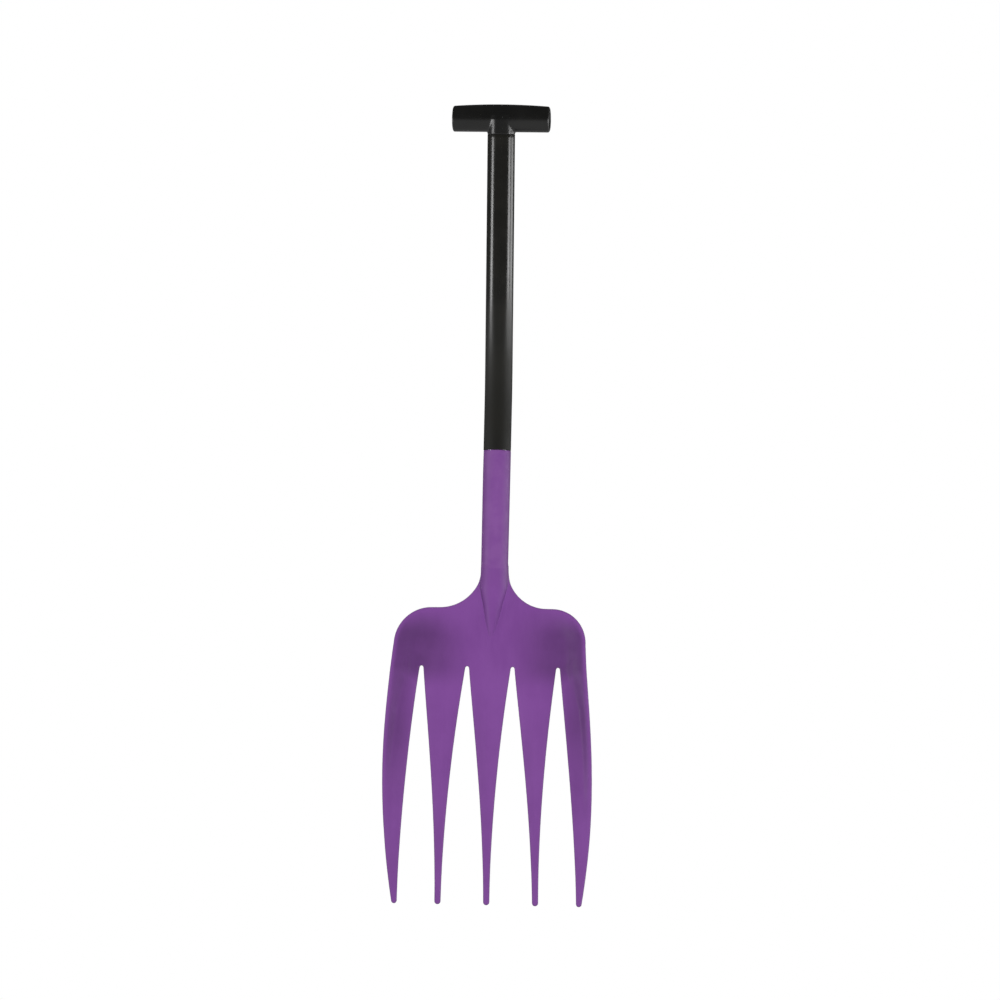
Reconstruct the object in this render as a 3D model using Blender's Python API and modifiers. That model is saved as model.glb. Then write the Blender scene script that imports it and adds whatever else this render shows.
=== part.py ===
"""Five-tine bedding fork: moulded head, cranked sleeved shaft and T-grip. Metres, +Z up, front is -Y.

The origin lies on the shaft's axis, level with the underside of the grip's crossbar.
"""
import math

import bmesh
import bpy
from mathutils import Matrix, Vector

GAP = 0.0003

# Shaft: lengths along its axis, measured down from the underside of the crossbar
SHAFT_RADIUS = 0.0187
TUBE_RADIUS = 0.0160
TUBE_BORE = 0.0144
STEM_END = 0.003
SOCKET_MOUTH = 0.4331
SOCKET_BOTTOM = 0.5800
CRANK_START = 0.3225
CRANK_LENGTH = 0.050
CRANK = math.radians(5.0)

# Grip
BAR_LENGTH = 0.1327
BAR_RADIUS = 0.0176
BAR_DEPTH = 0.0138
BAR_CROWN = 0.0025
BAR_CHAMFER = 0.0020
DOME_RISES = (0.0128, 0.0105, 0.0065, 0.0)
DOME_SHARES = (0.35, 0.72, 0.93, 1.0)
CAP_RADIUS = 0.0098
CAP_DEPTH = 0.012
CAP_RECESS = 0.0008
CAP_WALL = 0.0022
CAP_CHAMFER = 0.001
BAR_BORE_DEPTH = 0.030
SPIGOT_LENGTH = 0.070
SPIGOT_ROOT = 0.006

# Head outline, seen from the front
SHOULDER_Z = -0.6460
THROAT_FILLET = 0.0555
CORNER_RADIUS = 0.0478
SHOULDER_HALF_WIDTH = 0.1313
SLOT_Z = -0.7280
SLOT_RADIUS = 0.0034
TIP_Z = -1.0480
TINE_LENGTH = SLOT_Z - TIP_Z
TINE_SPACING = 0.0623
TINE_SPLAY = 0.0046
TINE_ROOT_HALF_WIDTH = 0.0284
TIP_HALF_WIDTH = 0.0042
OUTER_INNER_EDGE_ROOT = 0.0962
OUTER_INNER_EDGE_TIP = 0.1228
WIDEST_HALF_WIDTH = 0.1435
WIDEST_Z = -0.8805
SIDE_CURVE = 0.487
SIDE_EASE = 0.3
SIDE_EASE_SPAN = 0.19
OUTER_TAPER_POWER = 1.5
TAPER_START_POWER = 1.05
TAPER_POWER = 1.8

# Head profile, seen from the side
PAN_SLOPE = math.tan(math.radians(18.0))
PAN_END_Z = -0.700
PAN_END_Y = -0.0520
TINE_STRAIGHTENING = 0.080
TIP_SLOPE = math.tan(math.radians(1.5))
BOWL_DEPTH = 0.0045
BOWL_FADE = 0.065
LIP_WIDTH = 0.0035
WALL_STATIONS = (-0.620, -0.700, -0.728, -0.750, -0.780, -0.850, -0.950)
WALL_WIDTHS = (0.030, 0.034, 0.034, 0.024, 0.017, 0.014, 0.012)
WALL_HEIGHTS = (0.007, 0.011, 0.012, 0.0105, 0.009, 0.006, 0.0)
WALL_FROM = 0.045
WALL_FULL = 0.105
SHEET = 0.0050
SPINE_SET_BACK = 0.0016
SPINE_ROOT_RADIUS = 0.0058
SPINE_TIP_RADIUS = 0.0028
SPINE_END_SHARE = 0.45
SPINE_OVER_ROOT = 0.022
SPINE_SHORT_OF_TIP = 0.010
SPINE_STEPS = 12
NECK_LENGTHS = (SOCKET_MOUTH, 0.600, 0.690, 0.715, 0.745, 0.775, 0.800)
NECK_SHARES = (1.0, 0.985, 0.985, 0.85, 0.62, 0.40, 0.24)

# Grid of the head's sheet
TINE_COLUMNS = 6
SLOT_COLUMNS = 4
TINE_ROWS = 16
ARC_ROWS = 7
ROW_SPACING_POWER = 0.9
ROW_BOW_POWER = 2.5
THROAT_OVERLAP = 0.0008
TIP_DROP = 0.002
TIP_PINCH = 0.55

# Screws
SCREW_RADIUS = 0.0019
SCREW_HEAD_RADIUS = 0.0038
SCREW_HEAD_HEIGHT = 0.0020
GRIP_SCREW_AT = 0.045
HEAD_SCREWS_AT = (0.470, 0.545)
SCREW_REACH = 0.0130
SCREW_TOP_SHARE = 0.7
CORE_HOLE_EXTRA = 0.003
PLUG_ABOVE_SCREW = 0.022
OVERCUT = 0.010


def clear_scene():
    for item in list(bpy.data.objects):
        bpy.data.objects.remove(item, do_unlink=True)


def new_collection(name):
    collection = bpy.data.collections.new(name)
    bpy.context.scene.collection.children.link(collection)
    return collection


clear_scene()
PARTS = new_collection("bedding_fork")
CUTTERS = new_collection("cutters")


def material(name, color, roughness, metallic=0.0):
    mat = bpy.data.materials.new(name)
    mat.use_nodes = True
    shader = mat.node_tree.nodes["Principled BSDF"]
    shader.inputs["Base Color"].default_value = (*color, 1.0)
    shader.inputs["Roughness"].default_value = roughness
    shader.inputs["Metallic"].default_value = metallic
    return mat


def add_object(name, mesh, collection):
    item = bpy.data.objects.new(name, mesh)
    collection.objects.link(item)
    return item


def as_cutter(item):
    item.hide_render = True
    item.display_type = "WIRE"
    return item


def combine(target, tool, operation):
    boolean = target.modifiers.new(operation.lower(), "BOOLEAN")
    boolean.operation = operation
    boolean.solver = "EXACT"
    boolean.object = tool


def finish_part(item, mat, smooth_angle=35.0):
    item.data.materials.clear()
    item.data.materials.append(mat)
    item.data.shade_smooth()
    item.data.set_sharp_from_angle(angle=math.radians(smooth_angle))
    return item


def shaft_point(length):
    """Point on the shaft's axis at a length below the crossbar's underside."""
    bend_radius = CRANK_LENGTH / CRANK
    bent = min(max(length - CRANK_START, 0.0), CRANK_LENGTH) / bend_radius
    straight = min(length, CRANK_START)
    beyond = max(length - CRANK_START - CRANK_LENGTH, 0.0)
    y = -bend_radius * (1.0 - math.cos(bent)) - beyond * math.sin(CRANK)
    z = -straight - bend_radius * math.sin(bent) - beyond * math.cos(CRANK)
    return Vector((0.0, y, z))


def shaft_back(length):
    """Unit vector out of the shaft's back at a length below the crossbar's underside."""
    bent = min(max(length - CRANK_START, 0.0) / CRANK_LENGTH, 1.0) * CRANK
    return Vector((0.0, math.cos(bent), -math.sin(bent)))


def rod(name, points, radii, collection, sides=32):
    """Solid round rod through the points, one radius for each, as a welded mesh."""
    curve = bpy.data.curves.new(name, "CURVE")
    curve.dimensions = "3D"
    curve.bevel_depth = 1.0
    curve.bevel_resolution = sides // 2 - 2
    curve.use_fill_caps = True
    spline = curve.splines.new("POLY")
    spline.points.add(len(points) - 1)
    for knot, place, radius in zip(spline.points, points, radii):
        knot.co = (*place, 1.0)
        knot.radius = radius
    holder = add_object(name + "_curve", curve, collection)
    bpy.context.view_layer.update()
    evaluated = holder.evaluated_get(bpy.context.evaluated_depsgraph_get())
    mesh = bpy.data.meshes.new_from_object(evaluated)
    bm = bmesh.new()
    bm.from_mesh(mesh)
    bmesh.ops.remove_doubles(bm, verts=bm.verts, dist=0.00001)
    bmesh.ops.recalc_face_normals(bm, faces=bm.faces)
    bm.to_mesh(mesh)
    bm.free()
    item = add_object(name, mesh, collection)
    item.matrix_world = holder.matrix_world.copy()
    bpy.data.objects.remove(holder, do_unlink=True)
    return item


def shaft_rod(name, start, end, radius, collection, sides=32, bend_steps=6):
    """Round rod that follows the shaft's axis between two lengths."""
    lengths = [start, end]
    for step in range(bend_steps + 1):
        length = CRANK_START + CRANK_LENGTH * step / bend_steps
        if start + 0.002 < length < end - 0.002:
            lengths.append(length)
    lengths.sort()
    points = [shaft_point(length) for length in lengths]
    return rod(name, points, [radius] * len(points), collection, sides)


def screw_cutter(name, length, depth):
    """Round hole from outside the shaft's back down to a depth below its surface."""
    out = shaft_back(length)
    start = shaft_point(length) + out * (SHAFT_RADIUS + OVERCUT)
    end = shaft_point(length) + out * (SHAFT_RADIUS - depth)
    hole = rod(name, [start, end], [SCREW_RADIUS + GAP] * 2, CUTTERS, sides=16)
    return as_cutter(hole)


def make_core_tube(mat):
    tube = shaft_rod("core_tube", STEM_END + GAP, SOCKET_BOTTOM - GAP, TUBE_RADIUS, PARTS)
    bore = shaft_rod("core_bore", STEM_END - OVERCUT, SOCKET_BOTTOM + OVERCUT, TUBE_BORE, CUTTERS)
    combine(tube, as_cutter(bore), "DIFFERENCE")
    for number, length in enumerate((GRIP_SCREW_AT, *HEAD_SCREWS_AT)):
        hole = screw_cutter(f"core_hole_{number}", length, SHAFT_RADIUS - TUBE_BORE + CORE_HOLE_EXTRA)
        combine(tube, hole, "DIFFERENCE")
    return finish_part(tube, mat)


def make_shaft_sleeve(mat):
    sleeve = shaft_rod("shaft_sleeve", STEM_END + GAP, SOCKET_MOUTH - GAP, SHAFT_RADIUS, PARTS)
    bore = shaft_rod("sleeve_bore", 0.0, SOCKET_MOUTH + OVERCUT, TUBE_RADIUS + GAP, CUTTERS)
    combine(sleeve, as_cutter(bore), "DIFFERENCE")
    hole = screw_cutter("sleeve_hole", GRIP_SCREW_AT, SHAFT_RADIUS - TUBE_BORE)
    combine(sleeve, hole, "DIFFERENCE")
    return finish_part(sleeve, mat)


def make_tube_plug(mat):
    start = HEAD_SCREWS_AT[0] - PLUG_ABOVE_SCREW
    plug = shaft_rod("tube_plug", start, SOCKET_BOTTOM - GAP, TUBE_BORE - GAP, PARTS)
    for number, length in enumerate(HEAD_SCREWS_AT):
        hole = screw_cutter(f"plug_hole_{number}", length, SCREW_REACH + 2 * GAP)
        combine(plug, hole, "DIFFERENCE")
    return finish_part(plug, mat)


def make_crossbar():
    """Oval bar with chamfered ends, straight underneath and crowned on top."""
    half = BAR_LENGTH / 2
    inner = half - BAR_CHAMFER
    places = [-half, *[inner * step / 5 for step in range(-5, 6)], half]
    points = [Vector((x, 0.0, BAR_RADIUS)) for x in places]
    end = BAR_RADIUS - BAR_CHAMFER
    bar = rod("t_grip", points, [end, *[BAR_RADIUS] * (len(places) - 2), end], PARTS, sides=40)
    for vertex in bar.data.vertices:
        height = max(vertex.co.z / BAR_RADIUS - 1.0, 0.0)
        vertex.co.z += BAR_CROWN * (1.0 - (vertex.co.x / half) ** 2) * height
        vertex.co.y *= BAR_DEPTH / BAR_RADIUS
    return bar


def make_grip(mat):
    grip = make_crossbar()
    stem_points = [Vector((0.0, 0.0, BAR_RADIUS + rise)) for rise in DOME_RISES]
    stem_radii = [SHAFT_RADIUS * share for share in DOME_SHARES]
    stem_points.append(Vector((0.0, 0.0, -STEM_END)))
    stem_radii.append(SHAFT_RADIUS)
    stem = rod("grip_stem", stem_points, stem_radii, CUTTERS)
    combine(grip, as_cutter(stem), "UNION")
    spigot_end = STEM_END + SPIGOT_LENGTH
    spigot = shaft_rod("grip_spigot", -SPIGOT_ROOT, spigot_end, TUBE_BORE - GAP, CUTTERS)
    combine(grip, as_cutter(spigot), "UNION")
    for side, name in ((-1, "left"), (1, "right")):
        outer = Vector((side * (BAR_LENGTH / 2 + OVERCUT), 0.0, BAR_RADIUS))
        inner = Vector((side * (BAR_LENGTH / 2 - BAR_BORE_DEPTH), 0.0, BAR_RADIUS))
        bore = rod(f"bar_bore_{name}", [outer, inner], [CAP_RADIUS + GAP] * 2, CUTTERS)
        combine(grip, as_cutter(bore), "DIFFERENCE")
    hole = screw_cutter("spigot_hole", GRIP_SCREW_AT, SCREW_REACH + 2 * GAP)
    combine(grip, hole, "DIFFERENCE")
    return finish_part(grip, mat)


def turned(name, profile, collection, steps=32):
    """Turned solid about Z from a profile of (radius, z), top to bottom."""
    mesh = bpy.data.meshes.new(name)
    verts = [(radius, 0.0, z) for radius, z in profile]
    mesh.from_pydata(verts, [(i, i + 1) for i in range(len(verts) - 1)], [])
    item = add_object(name, mesh, collection)
    screw = item.modifiers.new("turn", "SCREW")
    screw.steps = steps
    screw.render_steps = steps
    screw.use_merge_vertices = True
    screw.merge_threshold = 0.00001
    return item


def make_grip_cap(side, name, mat):
    """Hollow plug with a flat outer face, pushed into one end of the crossbar."""
    profile = [
        (0.0, 0.0),
        (CAP_RADIUS - CAP_CHAMFER, 0.0),
        (CAP_RADIUS, -CAP_CHAMFER),
        (CAP_RADIUS, -CAP_DEPTH),
        (CAP_RADIUS - CAP_WALL, -CAP_DEPTH),
        (CAP_RADIUS - CAP_WALL, -CAP_WALL),
        (0.0, -CAP_WALL),
    ]
    cap = turned(name, profile, PARTS)
    cap.location = (side * (BAR_LENGTH / 2 - CAP_RECESS), 0.0, BAR_RADIUS)
    cap.rotation_euler = (0.0, side * math.pi / 2, 0.0)
    return finish_part(cap, mat)


def cone_object(name, collection, place, radii, depth):
    """Round cone or cylinder along its own Z, placed by a matrix."""
    bm = bmesh.new()
    bmesh.ops.create_cone(
        bm, cap_ends=True, segments=16, radius1=radii[0], radius2=radii[1],
        depth=depth, matrix=place)
    mesh = bpy.data.meshes.new(name)
    bm.to_mesh(mesh)
    bm.free()
    return add_object(name, mesh, collection)


def make_screw(name, length, mat):
    """Round-headed screw, its axis square to the shaft's back."""
    out = shaft_back(length)
    seat = shaft_point(length) + out * (SHAFT_RADIUS + GAP)
    turn = out.to_track_quat("Z", "Y").to_matrix().to_4x4()
    place = Matrix.Translation(seat + out * (SCREW_HEAD_HEIGHT / 2)) @ turn
    head_radii = (SCREW_HEAD_RADIUS, SCREW_HEAD_RADIUS * SCREW_TOP_SHARE)
    screw = cone_object(name, PARTS, place, head_radii, SCREW_HEAD_HEIGHT)
    top = SCREW_HEAD_HEIGHT / 2
    bottom = -SCREW_REACH - GAP
    place = Matrix.Translation(seat + out * ((top + bottom) / 2)) @ turn
    shank = cone_object(name + "_shank", CUTTERS, place, (SCREW_RADIUS, SCREW_RADIUS), top - bottom)
    combine(screw, as_cutter(shank), "UNION")
    return finish_part(screw, mat)


def smooth_step(low, high, value):
    share = min(max((value - low) / (high - low), 0.0), 1.0)
    return share * share * (3.0 - 2.0 * share)


def side_half_width(z):
    """Half-width of the head below its shoulder corners: a long bow, widest at mid-tine."""
    rise = z - WIDEST_Z
    curve = SIDE_CURVE * rise * rise
    if rise > 0.0:
        curve *= 1.0 - SIDE_EASE * (rise / SIDE_EASE_SPAN) ** 2
    return WIDEST_HALF_WIDTH - curve


def centre_profile(z):
    """Depth of the front surface on the middle line: a sloping pan that straightens into the tines."""
    drop = PAN_END_Z - z
    if drop <= 0.0:
        return PAN_END_Y - drop * PAN_SLOPE
    fade = 1.0 - math.exp(-drop / TINE_STRAIGHTENING)
    return PAN_END_Y - (PAN_SLOPE + TIP_SLOPE) * TINE_STRAIGHTENING * fade + TIP_SLOPE * drop


def edge_distance(x, z):
    """Distance in from the outer edge of the shoulders and sides."""
    top = SHOULDER_Z - z
    side = max(SHOULDER_HALF_WIDTH, side_half_width(z)) - abs(x)
    if top >= CORNER_RADIUS or side >= CORNER_RADIUS:
        return max(min(top, side), 0.0)
    corner = math.hypot(CORNER_RADIUS - top, CORNER_RADIUS - side)
    return max(CORNER_RADIUS - corner, 0.0)


def along_stations(z, values):
    """Value at a height, read along straight lines between the wall's stations."""
    heights = WALL_STATIONS
    if z >= heights[0]:
        return values[0]
    for upper, lower, first, second in zip(heights, heights[1:], values, values[1:]):
        if z >= lower:
            return first + (second - first) * (upper - z) / (upper - lower)
    return values[-1]


def front_surface(x, z):
    """Depth of the dished front surface at a point of the outline."""
    width = along_stations(z, WALL_WIDTHS)
    wall = 1.0 - smooth_step(LIP_WIDTH, width, edge_distance(x, z))
    wall *= along_stations(z, WALL_HEIGHTS) * smooth_step(WALL_FROM, WALL_FULL, abs(x))
    fade = math.exp(-max(PAN_END_Z - z, 0.0) / BOWL_FADE)
    bowl = BOWL_DEPTH * fade * (x / SHOULDER_HALF_WIDTH) ** 2
    return centre_profile(z) - bowl - wall


def tine_edges(number, z):
    """Left and right edge of tine 0 to 4 at a height, from left to right."""
    along = min(max((SLOT_Z - z) / TINE_LENGTH, 0.0), 1.0)
    side = -1.0 if number < 2 else 1.0
    if number in (0, 4):
        taper = (1.0 - along) ** OUTER_TAPER_POWER
        inner = OUTER_INNER_EDGE_TIP - (OUTER_INNER_EDGE_TIP - OUTER_INNER_EDGE_ROOT) * taper
        edges = [inner, side_half_width(z)]
    else:
        taper = (1.0 - along ** TAPER_START_POWER) ** TAPER_POWER
        half = TIP_HALF_WIDTH + (TINE_ROOT_HALF_WIDTH - TIP_HALF_WIDTH) * taper
        middle = 0.0 if number == 2 else TINE_SPACING + TINE_SPLAY * along
        edges = [middle - half, middle + half]
    if side < 0.0:
        edges = [-edges[1], -edges[0]]
    return edges


def tine_middle(number, z):
    left, right = tine_edges(number, z)
    return (left + right) / 2


def root_columns():
    """Columns across the head at the slots' tops: (x, rise of the slot's round top, in a slot)."""
    columns = []
    for number in range(5):
        left, right = tine_edges(number, SLOT_Z)
        for step in range(TINE_COLUMNS + 1):
            columns.append((left + (right - left) * step / TINE_COLUMNS, 0.0))
        if number < 4:
            start, end = right, tine_edges(number + 1, SLOT_Z)[0]
            for step in range(1, SLOT_COLUMNS):
                angle = math.pi * step / SLOT_COLUMNS
                x = (start + end) / 2 - (end - start) / 2 * math.cos(angle)
                columns.append((x, SLOT_RADIUS * math.sin(angle)))
    return columns


def pan_outline():
    """Half-width and height of each row's outer end, from the throat down to the slots' tops."""
    outline = []
    start = SHAFT_RADIUS - THROAT_OVERLAP
    for step in range(ARC_ROWS + 1):
        angle = math.pi / 2 * step / ARC_ROWS
        width = start + THROAT_FILLET * (1.0 - math.cos(angle))
        outline.append((width, SHOULDER_Z + THROAT_FILLET * (1.0 - math.sin(angle))))
    centre = SHOULDER_HALF_WIDTH - CORNER_RADIUS
    for step in range(ARC_ROWS + 1):
        angle = math.pi / 2 * step / ARC_ROWS
        width = centre + CORNER_RADIUS * math.sin(angle)
        outline.append((width, SHOULDER_Z - CORNER_RADIUS * (1.0 - math.cos(angle))))
    low = SHOULDER_Z - CORNER_RADIUS
    for step in (1, 2):
        z = low + (SLOT_Z - low) * step / 2
        outline.append((side_half_width(z), z))
    return outline


def pan_rows():
    """Rows of front points across the pan, the last one along the slots' round tops."""
    columns = root_columns()
    widest = columns[-1][0]
    outline = pan_outline()
    top = outline[0][1]
    rows = []
    for index, (half_width, outer_z) in enumerate(outline):
        share = index / (len(outline) - 1)
        middle_z = top + (SLOT_Z - top) * share ** ROW_SPACING_POWER
        last = index == len(outline) - 1
        row = []
        for x_root, rise in columns:
            across = x_root / widest
            x = across * half_width
            z = middle_z + (outer_z - middle_z) * abs(across) ** ROW_BOW_POWER
            z += rise if last else 0.0
            row.append(Vector((x, front_surface(x, z), z)))
        rows.append(row)
    return rows


def tine_rows(number):
    """Rows of front points down one tine, below its root row, with a rounded tip."""
    rows = []
    for row_number in range(1, TINE_ROWS + 1):
        along = row_number / TINE_ROWS
        z = SLOT_Z - (TINE_LENGTH - TIP_DROP) * along
        left, right = tine_edges(number, z)
        last = row_number == TINE_ROWS
        pinch = TIP_PINCH if last else 1.0
        row = []
        for step in range(TINE_COLUMNS + 1):
            across = 2.0 * step / TINE_COLUMNS - 1.0
            x = (left + right) / 2 + across * pinch * (right - left) / 2
            drop = TIP_DROP * (1.0 - across * across) if last else 0.0
            row.append(Vector((x, front_surface(x, z), z - drop)))
        rows.append(row)
    return rows


def sheet_mesh():
    """Open front surface of the head, facing the front."""
    bm = bmesh.new()
    grid = [[bm.verts.new(point) for point in row] for row in pan_rows()]

    def bridge(upper, lower):
        for step in range(len(upper) - 1):
            bm.faces.new((upper[step], lower[step], lower[step + 1], upper[step + 1]))

    for upper, lower in zip(grid, grid[1:]):
        bridge(upper, lower)
    stride = TINE_COLUMNS + SLOT_COLUMNS
    for number in range(5):
        first = number * stride
        upper = grid[-1][first:first + TINE_COLUMNS + 1]
        for points in tine_rows(number):
            lower = [bm.verts.new(point) for point in points]
            bridge(upper, lower)
            upper = lower
    mesh = bpy.data.meshes.new("fork_head")
    bm.to_mesh(mesh)
    bm.free()
    return mesh


def make_neck():
    """Round socket neck that runs down behind the pan and tapers into the middle tine."""
    points = [shaft_point(length) for length in NECK_LENGTHS]
    for point, share in zip(points, NECK_SHARES):
        sunk = centre_profile(point.z) + SHEET
        point.y = min(point.y, point.y * share + sunk * (1.0 - share))
    return rod("neck", points, [SHAFT_RADIUS * share for share in NECK_SHARES], CUTTERS)


def make_spine(number):
    """Tapering round spine down the back of one tine."""
    top = SLOT_Z + SPINE_OVER_ROOT
    bottom = TIP_Z + SPINE_SHORT_OF_TIP
    points, radii = [], []
    for step in range(SPINE_STEPS + 1):
        share = step / SPINE_STEPS
        z = top + (bottom - top) * share
        x = tine_middle(number, min(z, SLOT_Z))
        radius = SPINE_ROOT_RADIUS + (SPINE_TIP_RADIUS - SPINE_ROOT_RADIUS) * share
        points.append(Vector((x, front_surface(x, z) + SHEET + SPINE_SET_BACK, z)))
        radii.append(radius * (SPINE_END_SHARE if step == 0 else 1.0))
    return rod(f"spine_{number}", points, radii, CUTTERS, sides=12)


def make_head(mat):
    head = add_object("fork_head", sheet_mesh(), PARTS)
    thick = head.modifiers.new("sheet", "SOLIDIFY")
    thick.thickness = SHEET
    thick.offset = -1.0
    combine(head, as_cutter(make_neck()), "UNION")
    for number in range(5):
        combine(head, as_cutter(make_spine(number)), "UNION")
    bore = shaft_rod("socket_bore", SOCKET_MOUTH - OVERCUT, SOCKET_BOTTOM, TUBE_RADIUS + GAP, CUTTERS)
    combine(head, as_cutter(bore), "DIFFERENCE")
    for number, length in enumerate(HEAD_SCREWS_AT):
        hole = screw_cutter(f"socket_hole_{number}", length, SHAFT_RADIUS - TUBE_BORE)
        combine(head, hole, "DIFFERENCE")
    return finish_part(head, mat)


def build():
    make_core_tube(material("aluminium", (0.60, 0.61, 0.62), 0.35, 1.0))
    make_shaft_sleeve(material("black_sleeve", (0.012, 0.012, 0.010), 0.25))
    make_tube_plug(material("beech_plug", (0.45, 0.30, 0.17), 0.6))
    make_grip(material("black_grip", (0.010, 0.010, 0.010), 0.3))
    make_grip_cap(-1, "grip_cap_left", material("cap_left", (0.012, 0.012, 0.012), 0.45))
    make_grip_cap(1, "grip_cap_right", material("cap_right", (0.012, 0.012, 0.012), 0.45))
    screws = zip(("grip_screw", "head_screw_upper", "head_screw_lower"), (GRIP_SCREW_AT, *HEAD_SCREWS_AT))
    for name, length in screws:
        make_screw(name, length, material(name + "_steel", (0.5, 0.5, 0.5), 0.3, 1.0))
    make_head(material("purple_plastic", (0.185, 0.060, 0.262), 0.4))


build()
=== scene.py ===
"""Look of a five-tine bedding fork: purple moulded head, black sleeved shaft, black T-grip.

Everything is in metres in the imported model's frame: +Z up, front -Y, origin on the shaft's
axis level with the underside of the grip's crossbar.
"""
import math

import bmesh
import bpy
import numpy as np
from mathutils import Matrix, Vector


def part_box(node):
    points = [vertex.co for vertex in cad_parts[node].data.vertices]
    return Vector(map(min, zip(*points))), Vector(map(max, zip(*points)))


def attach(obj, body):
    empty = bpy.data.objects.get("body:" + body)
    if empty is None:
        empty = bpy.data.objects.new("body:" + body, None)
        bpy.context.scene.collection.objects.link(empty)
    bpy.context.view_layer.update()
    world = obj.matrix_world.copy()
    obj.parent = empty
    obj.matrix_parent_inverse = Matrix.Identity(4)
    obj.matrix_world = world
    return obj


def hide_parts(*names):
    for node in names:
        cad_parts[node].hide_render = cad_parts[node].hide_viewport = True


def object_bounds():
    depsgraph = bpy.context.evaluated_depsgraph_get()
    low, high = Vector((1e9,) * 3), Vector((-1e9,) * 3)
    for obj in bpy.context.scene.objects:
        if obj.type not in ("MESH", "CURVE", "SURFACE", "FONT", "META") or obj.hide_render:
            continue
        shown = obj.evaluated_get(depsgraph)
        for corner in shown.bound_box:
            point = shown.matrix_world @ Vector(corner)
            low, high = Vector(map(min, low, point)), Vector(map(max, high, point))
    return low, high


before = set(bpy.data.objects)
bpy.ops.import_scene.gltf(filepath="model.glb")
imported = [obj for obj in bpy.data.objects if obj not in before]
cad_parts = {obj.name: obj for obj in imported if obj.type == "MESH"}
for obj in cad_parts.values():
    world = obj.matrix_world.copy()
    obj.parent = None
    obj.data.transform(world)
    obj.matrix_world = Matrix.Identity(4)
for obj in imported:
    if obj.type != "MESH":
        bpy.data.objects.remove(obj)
CAD_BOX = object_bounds()
BODY = "root"

HEAD_LOW, HEAD_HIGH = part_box("fork_head")
GRIP_LOW, GRIP_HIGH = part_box("t_grip")

GAP = 0.0003
JOINT_CLOSING = 0.0002
SOFT_EDGE = 0.0002
SOCKET_EDGE = 0.0006
HOLE_EDGE = 0.0003

# Shaft: lengths along its axis, measured down from the underside of the crossbar
SHAFT_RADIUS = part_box("shaft_sleeve")[1].x
TUBE_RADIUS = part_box("core_tube")[1].x
TUBE_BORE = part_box("tube_plug")[1].x + GAP
STEM_END = 0.003
SPIGOT_END = 0.073
SPIGOT_START = -0.013
SOCKET_MOUTH = 0.4331
SOCKET_BOTTOM = 0.5800
CRANK_START = 0.3225
CRANK_LENGTH = 0.050
CRANK = math.radians(5.0)
BEND_RADIUS = CRANK_LENGTH / CRANK
BEND_END_Z = -CRANK_START - BEND_RADIUS * math.sin(CRANK)

# Grip
BAR_HALF = GRIP_HIGH.x
BAR_RADIUS = 0.0176
BAR_DEPTH = 0.0138
BAR_CROWN = 0.0025
BAR_ROUNDING = 0.0026
BAR_BORE_DEPTH = 0.030
BAR_BLEND = 0.0022
BORE_EDGE = 0.0008
SPIGOT_EDGE = 0.0010
DOME_RISE = (0.0, 0.0065, 0.0105, 0.0128, 0.0140)
DOME_SHARE = (1.0, 0.93, 0.72, 0.35, -0.2)
CAP_RADIUS = 0.0098
CAP_DEPTH = 0.012
CAP_RECESS = 0.0008
CAP_WALL = 0.0022
CAP_FLOOR = 0.0028

# Head outline, seen from the front
SHOULDER_Z = -0.6460
THROAT_FILLET = 0.0555
CORNER_RADIUS = 0.0478
SHOULDER_HALF_WIDTH = 0.1313
SLOT_Z = -0.7280
SLOT_RADIUS = 0.0034
TIP_Z = HEAD_LOW.z
TINE_LENGTH = SLOT_Z - TIP_Z
TINE_SPACING = 0.0623
TINE_SPLAY = 0.0046
TINE_ROOT_HALF_WIDTH = 0.0284
TIP_HALF_WIDTH = 0.0042
OUTER_INNER_EDGE_ROOT = 0.0962
OUTER_INNER_EDGE_TIP = 0.1228
WIDEST_HALF_WIDTH = 0.1435
WIDEST_Z = -0.8805
SIDE_CURVE = 0.487
SIDE_EASE = 0.3
SIDE_EASE_SPAN = 0.19
OUTER_TAPER_POWER = 1.5
TAPER_START_POWER = 1.05
TAPER_POWER = 1.8
THROAT_OVERLAP = 0.0018

# Head profile, seen from the side
PAN_SLOPE = math.tan(math.radians(18.0))
PAN_END_Z = -0.700
PAN_END_Y = -0.0520
TINE_STRAIGHTENING = 0.080
TIP_SLOPE = math.tan(math.radians(1.5))
BOWL_DEPTH = 0.0045
BOWL_FADE = 0.065
LIP_WIDTH = 0.0035
WALL_STATIONS = (-0.620, -0.700, -0.728, -0.750, -0.780, -0.850, -0.950)
WALL_WIDTHS = (0.030, 0.034, 0.034, 0.024, 0.017, 0.014, 0.012)
WALL_HEIGHTS = (0.007, 0.011, 0.012, 0.0105, 0.009, 0.006, 0.0)
WALL_FROM = 0.045
WALL_FULL = 0.105
SHEET = 0.0050
SPINE_SET_BACK = 0.0016
EDGE_ROUNDING = 0.0021

# Details of the moulding
RIDGE_SLOPE = 0.16
RIDGE_ROUNDING = 0.0008
RIDGE_FADE = 0.35
OUTER_RIDGE_START = 0.45
CREASE_HEIGHT = 0.0005
CREASE_HALF_WIDTH = 0.0022
CREASE_TOP_Z = (-0.655, -0.675)
CREASE_END_Z = (-0.735, -0.705)
SPINE_ROOT = 0.0058
SPINE_TIP = 0.0028
SPINE_OVER_ROOT = 0.024
SPINE_SHORT_OF_TIP = 0.006
SPINE_TIP_TAPER = 0.035
SPINE_ROOT_TAPER = 0.016
SPINE_ROOT_END = 0.0018
SPINE_RUN_OUT = 0.012
SPINE_GONE = 0.004
TONGUE_HEIGHTS = (-0.690, -0.678, -0.663, -0.6467, -0.6317, -0.6195)
TONGUE_HALF_WIDTHS = (0.0004, 0.0047, 0.0090, 0.0122, 0.0156, 0.0187)
TONGUE_LOW, TONGUE_HIGH = -0.680, -0.625
SHARP_TONGUE, ROUND_TONGUE = 0.90, 0.50
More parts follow.
